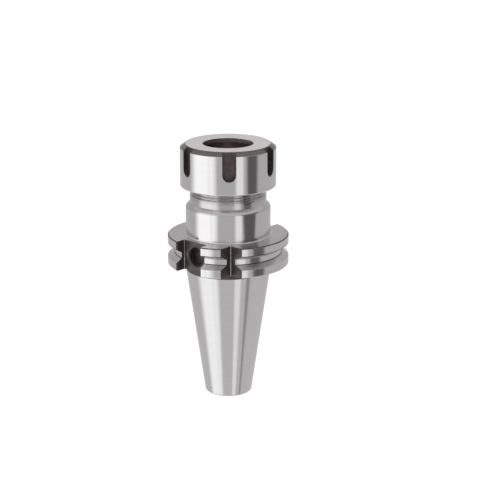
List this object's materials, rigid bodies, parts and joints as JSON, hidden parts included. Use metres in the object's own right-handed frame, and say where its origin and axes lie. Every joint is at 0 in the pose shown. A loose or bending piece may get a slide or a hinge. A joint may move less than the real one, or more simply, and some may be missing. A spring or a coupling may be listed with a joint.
{
  "type": "collet chuck holder",
  "caption": "Steel collet chuck holder: steep-taper shank, V-flange with drive slots, threaded neck and a slotted clamping nut that screws along it.",
  "frame": {"origin": "centre of the small end face of the shank, which the holder stands on", "axes": "+Z along the axis from the shank to the nut; -X through the middle of the shallow drive slot"},
  "size_m": [0.0612, 0.0636, 0.1358],
  "materials": {
    "holder_steel": "ground bright, with milled cuts left dark",
    "nut_steel": "ground bright side, dark chamfer and slots",
    "blackened_steel": "blackened"
  },
  "bodies": {
    "holder": {"holder_body": "holder_steel"},
    "ring": {"extraction_ring": "blackened_steel"},
    "nut": {"clamping_nut": "nut_steel"}
  },
  "joints": [
    {"name": "nut_travel", "type": "slide", "parent": "holder", "child": "ring", "axis": [0, 0, 1], "range_m": [-0.0019, 0.01015]},
    {"name": "nut_turn", "type": "hinge", "parent": "ring", "child": "nut", "pos_m": [0, 0, 0.1245], "axis": [0, 0, 1], "range_deg": [-450, 2430]}
  ],
  "couplings": [
    {"joint": "nut_travel", "follows": "nut_turn", "m_per_rad": 0.00023873}
  ]
}
